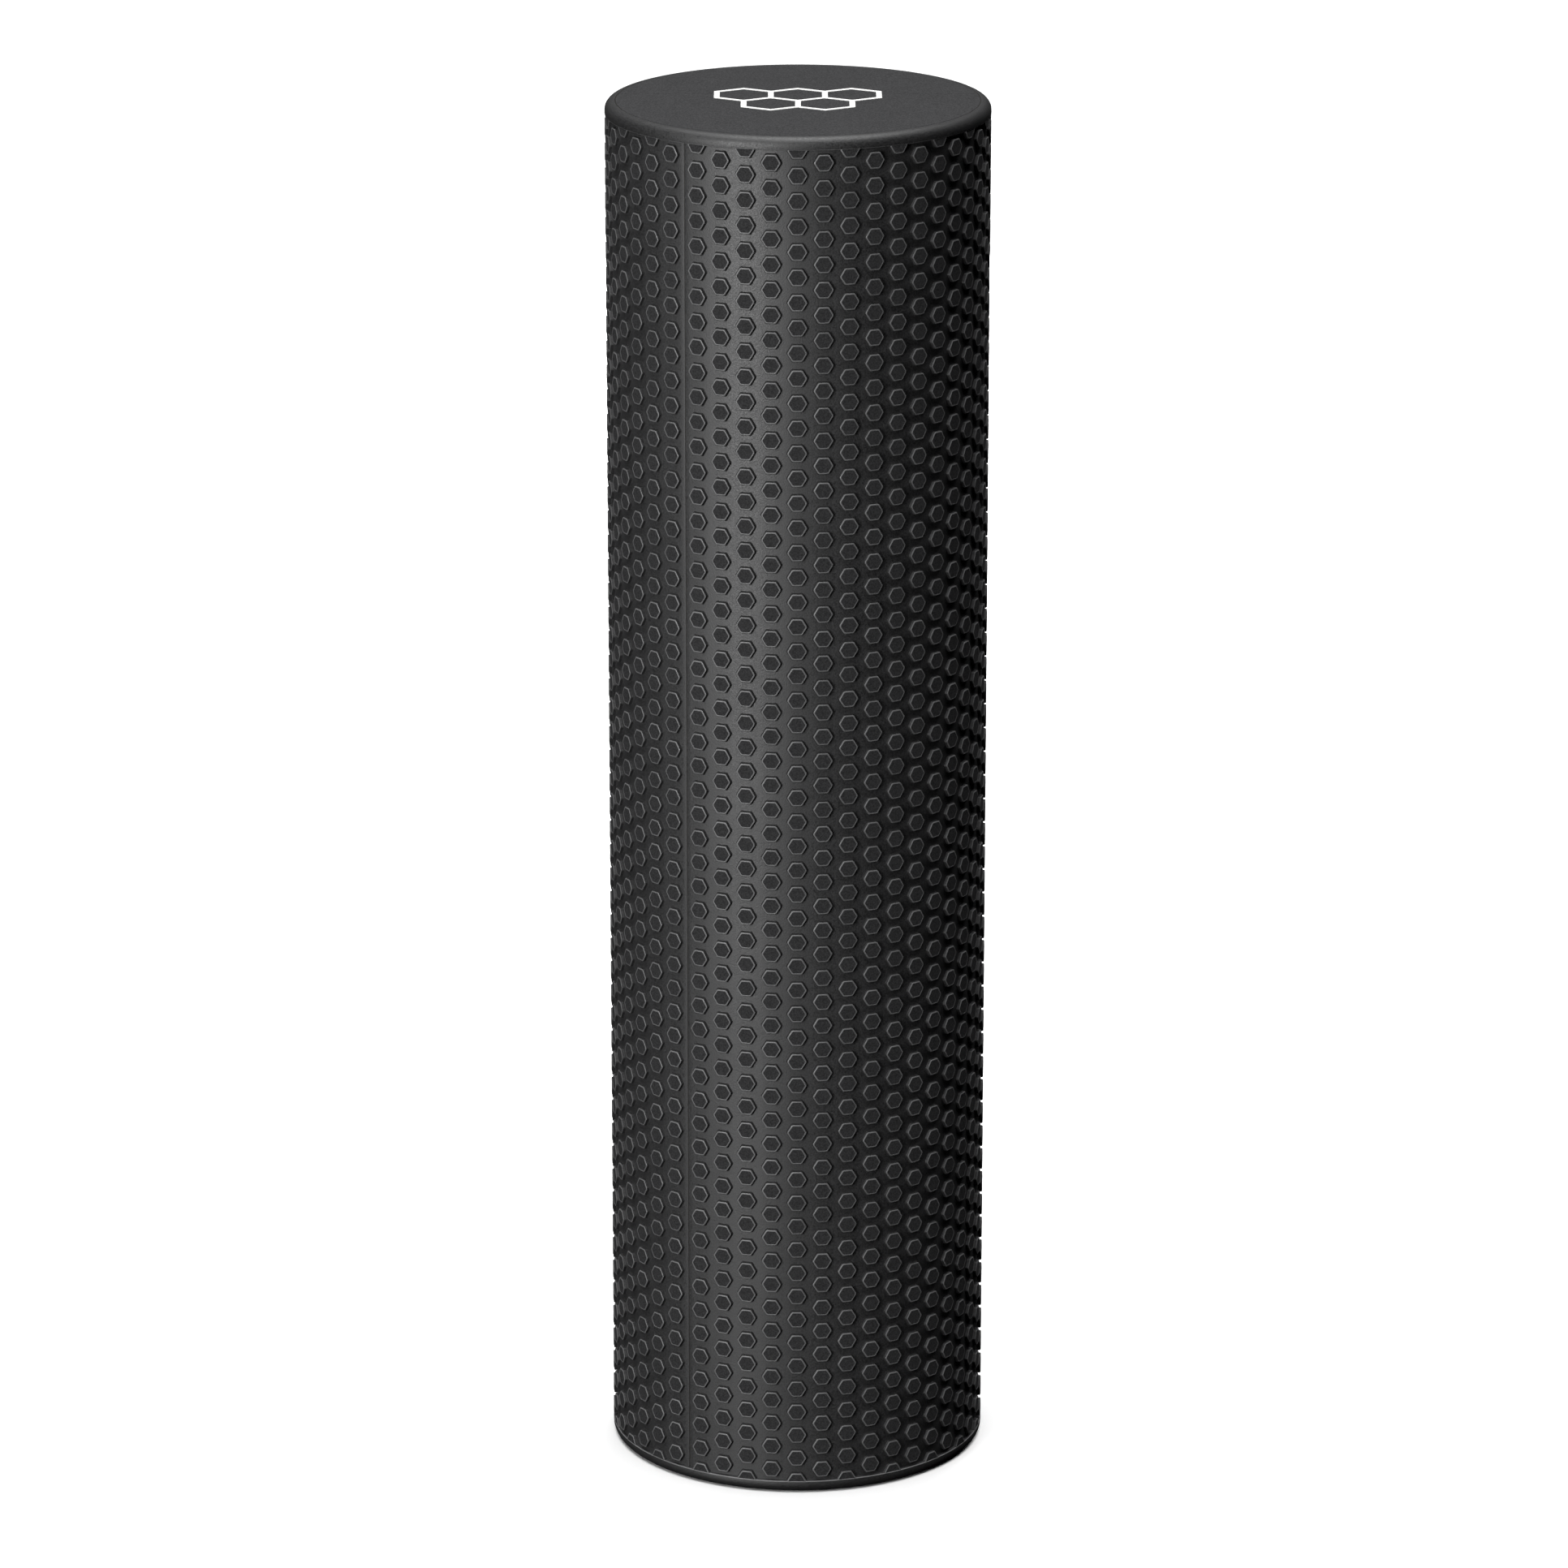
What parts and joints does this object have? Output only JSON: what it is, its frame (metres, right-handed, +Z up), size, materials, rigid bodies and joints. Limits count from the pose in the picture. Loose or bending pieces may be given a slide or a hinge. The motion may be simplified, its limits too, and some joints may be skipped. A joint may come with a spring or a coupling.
{
  "type": "foam roller",
  "caption": "Round solid foam massage roller standing on its end, its side covered in low hexagonal studs, with rounded shoulders and a small honeycomb print on the top end.",
  "frame": {"origin": "middle of the flat end that the roller stands on", "axes": "+Z up along the roller's axis; -Y is the front; the front seam is 36 degrees from -Y towards -X"},
  "size_m": [0.15, 0.15, 0.5501],
  "materials": {
    "skin_foam": "matte moulded closed-cell EVA foam skin",
    "core_foam": "matte cut closed-cell EVA foam",
    "adhesive": "dried contact adhesive",
    "print_ink": "matte white transfer print"
  },
  "bodies": {
    "root": {"core_front_block": "core_foam", "core_rear_block": "core_foam", "core_bond": "adhesive", "skin_right_half": "skin_foam", "skin_left_half": "skin_foam", "skin_bond_right": "adhesive", "skin_bond_left": "adhesive", "seam_bond_front": "adhesive", "seam_bond_rear": "adhesive", "end_mark": "print_ink"}
  },
  "joints": []
}
